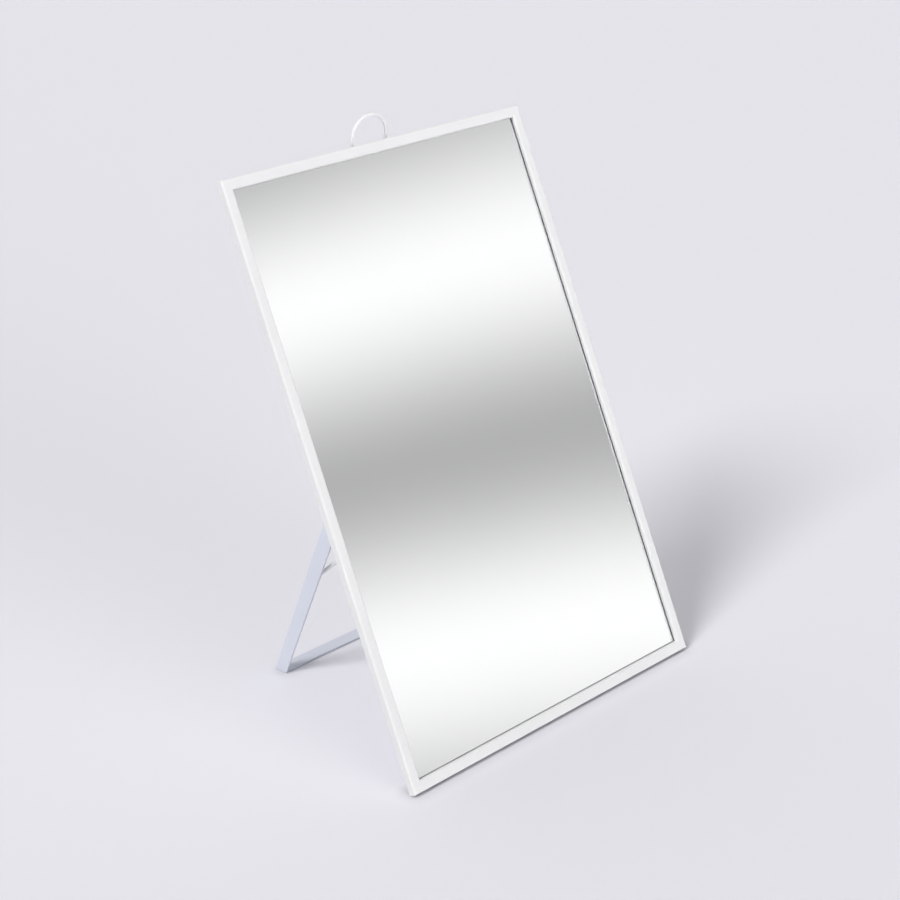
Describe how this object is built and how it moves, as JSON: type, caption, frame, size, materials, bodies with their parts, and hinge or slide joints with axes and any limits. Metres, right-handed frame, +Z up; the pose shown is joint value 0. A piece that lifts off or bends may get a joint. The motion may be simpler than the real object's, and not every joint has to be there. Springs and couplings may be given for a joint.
{
  "type": "tabletop mirror",
  "caption": "Rectangular table mirror in a thin white metal frame, leaning back on a fold-out easel leg with a wire stay, with a wire loop for hanging.",
  "frame": {"origin": "on the table, in the middle of the standing object's footprint", "axes": "+X along the mirror's width, to the right seen from the front; -Y to the front, where the mirror faces; +Z up"},
  "size_m": [0.2, 0.1406, 0.287],
  "materials": {
    "white_paint": "satin white powder coat",
    "leg_paint": "satin cool white powder coat",
    "back_paint": "matt white powder coat",
    "zinc_steel": "zinc plated",
    "clear_glass": "polished float glass",
    "silvering": "silvered",
    "grey_card": "grey card",
    "key_plastic": "moulded nylon"
  },
  "bodies": {
    "frame": {"top_rail": "white_paint", "bottom_rail": "white_paint", "left_rail": "white_paint", "right_rail": "white_paint", "corner_keys": "key_plastic", "mirror_glass": "clear_glass", "mirror_silvering": "silvering", "backing_card": "grey_card", "back_panel": "back_paint", "hinge_bracket_left": "back_paint", "hinge_bracket_right": "back_paint", "hinge_pin_left": "zinc_steel", "hinge_pin_right": "zinc_steel", "hinge_washers": "zinc_steel", "bracket_rivets": "zinc_steel", "stay_clip_left": "back_paint", "stay_clip_right": "back_paint", "stay_clip_rivets": "zinc_steel", "loop_strap": "back_paint", "loop_rivets": "zinc_steel"},
    "leg": {"leg_strut_left": "leg_paint", "leg_strut_right": "leg_paint", "foot_bar": "leg_paint", "stay_keepers": "leg_paint"},
    "stay": {"stay_wire": "white_paint"},
    "loop": {"hanging_loop": "white_paint"}
  },
  "joints": [
    {"name": "leg_fold", "type": "hinge", "parent": "frame", "child": "leg", "pos_m": [0, 0.00578, 0.14054], "axis": [1, 0, 0], "range_deg": [-48, 0]},
    {"name": "stay_swing", "type": "hinge", "parent": "frame", "child": "stay", "pos_m": [0, -0.01181, 0.10901], "axis": [1, 0, 0], "range_deg": [-70.6, 0]},
    {"name": "loop_swing", "type": "hinge", "parent": "frame", "child": "loop", "pos_m": [0, 0.06241, 0.26749], "axis": [1, 0, 0], "range_deg": [-208, 0]}
  ],
  "couplings": [
    {"joint": "stay_swing", "follows": "leg_fold", "ratio": 1.47}
  ]
}
